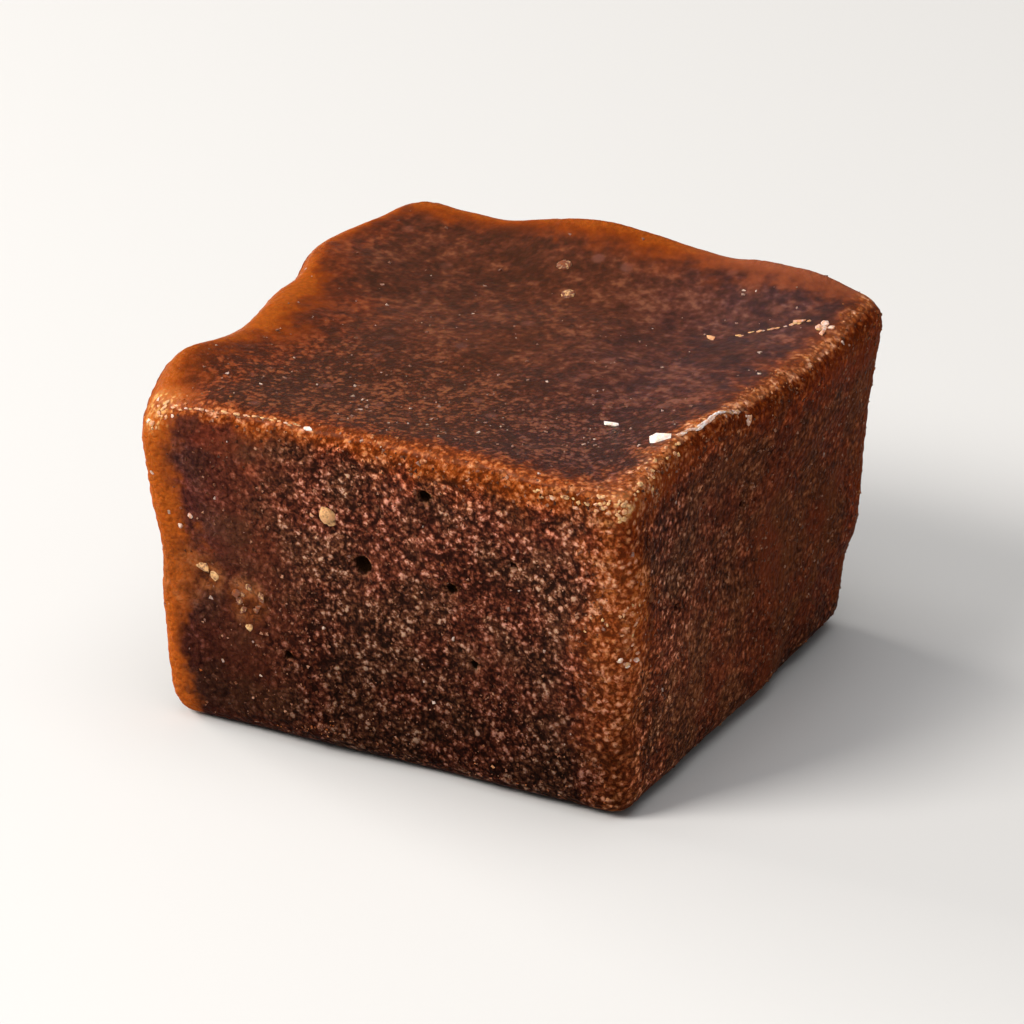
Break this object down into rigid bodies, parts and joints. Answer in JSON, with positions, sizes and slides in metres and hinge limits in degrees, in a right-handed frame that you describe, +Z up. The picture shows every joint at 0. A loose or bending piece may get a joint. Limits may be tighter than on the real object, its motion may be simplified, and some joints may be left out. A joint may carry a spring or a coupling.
{
  "type": "jaggery block",
  "caption": "Small cast block of dark unrefined brown sugar: a squat square prism with a sagged top, a thin raised rim and a rounded foot.",
  "frame": {"origin": "middle of the underside of the block's bounding box, on the surface that it rests on", "axes": "+Z is up through the sagged top; +X runs along the wider side, from the left to the right of the front face; +Y runs from the front face to the back"},
  "size_m": [0.031, 0.029, 0.0203],
  "materials": {
    "sugar": null
  },
  "bodies": {
    "root": {"block": "sugar"}
  },
  "joints": []
}
